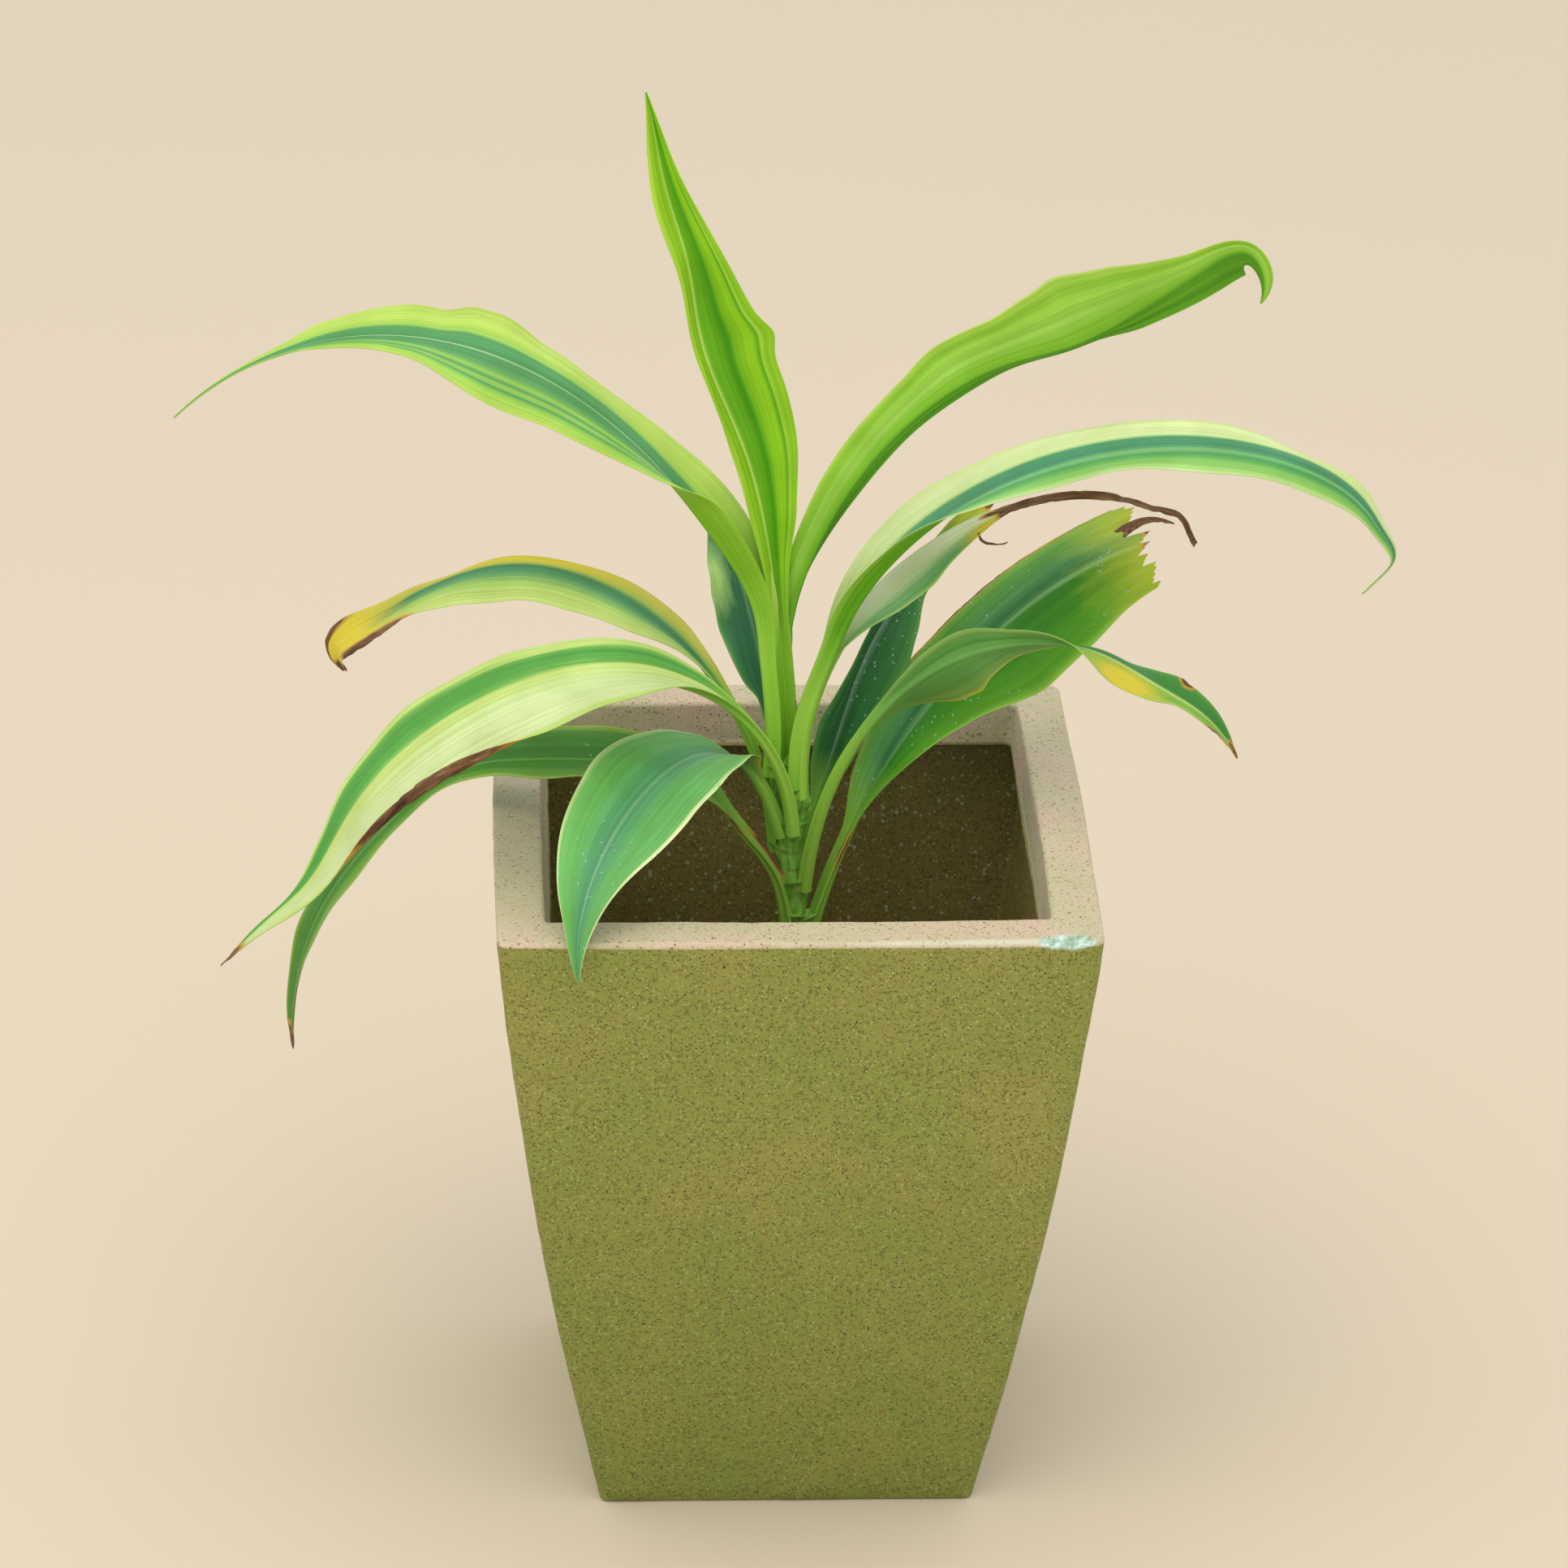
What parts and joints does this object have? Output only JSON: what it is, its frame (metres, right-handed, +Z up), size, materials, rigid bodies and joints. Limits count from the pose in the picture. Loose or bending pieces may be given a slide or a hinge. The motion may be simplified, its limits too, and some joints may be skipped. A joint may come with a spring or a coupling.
{
  "type": "potted plant",
  "caption": "Young striped-leaf dracaena in a tall square tapered planter of speckled cast terrazzo, with long arching variegated leaves.",
  "frame": {"origin": "centre of the planter's underside, on the ground", "axes": "+Z up along the planter, -Y towards the planter's front as pictured, +X to the viewer's right"},
  "size_m": [0.5112, 0.2649, 0.6163],
  "materials": {
    "cast_terrazzo": "olive cast terrazzo with fine dark, pale and reddish chips, matt, smoother and sandier on the rim",
    "potting_mix": "dark brown crumbly potting mix, dull",
    "stem_skin": "green ringed stem with dry brown sheath edges, satin",
    "leaf_lime": "bright lime green leaf with darker stripes, waxy satin",
    "leaf_striped": "blue-green leaf with yellow-green margins, waxy satin",
    "leaf_cream": "cream and green striped leaf, dry brown in places, waxy satin",
    "leaf_green": "mid green ribbed leaf with pale flecks, waxy satin",
    "leaf_teal": "dark blue-green leaf, waxy satin"
  },
  "bodies": {
    "root": {"planter": "cast_terrazzo", "soil": "potting_mix", "stem": "stem_skin", "leaf_spear": "leaf_lime", "leaf_arch_left": "leaf_striped", "leaf_arch_right": "leaf_lime", "leaf_sweep_right": "leaf_cream", "leaf_withered": "leaf_cream", "leaf_rear_right": "leaf_teal", "leaf_broad_right": "leaf_green", "leaf_twist_right": "leaf_green", "leaf_broad_left": "leaf_cream", "leaf_curl_left": "leaf_striped", "leaf_hang_left": "leaf_green", "leaf_front_left": "leaf_green", "leaf_rear": "leaf_teal"}
  },
  "joints": []
}
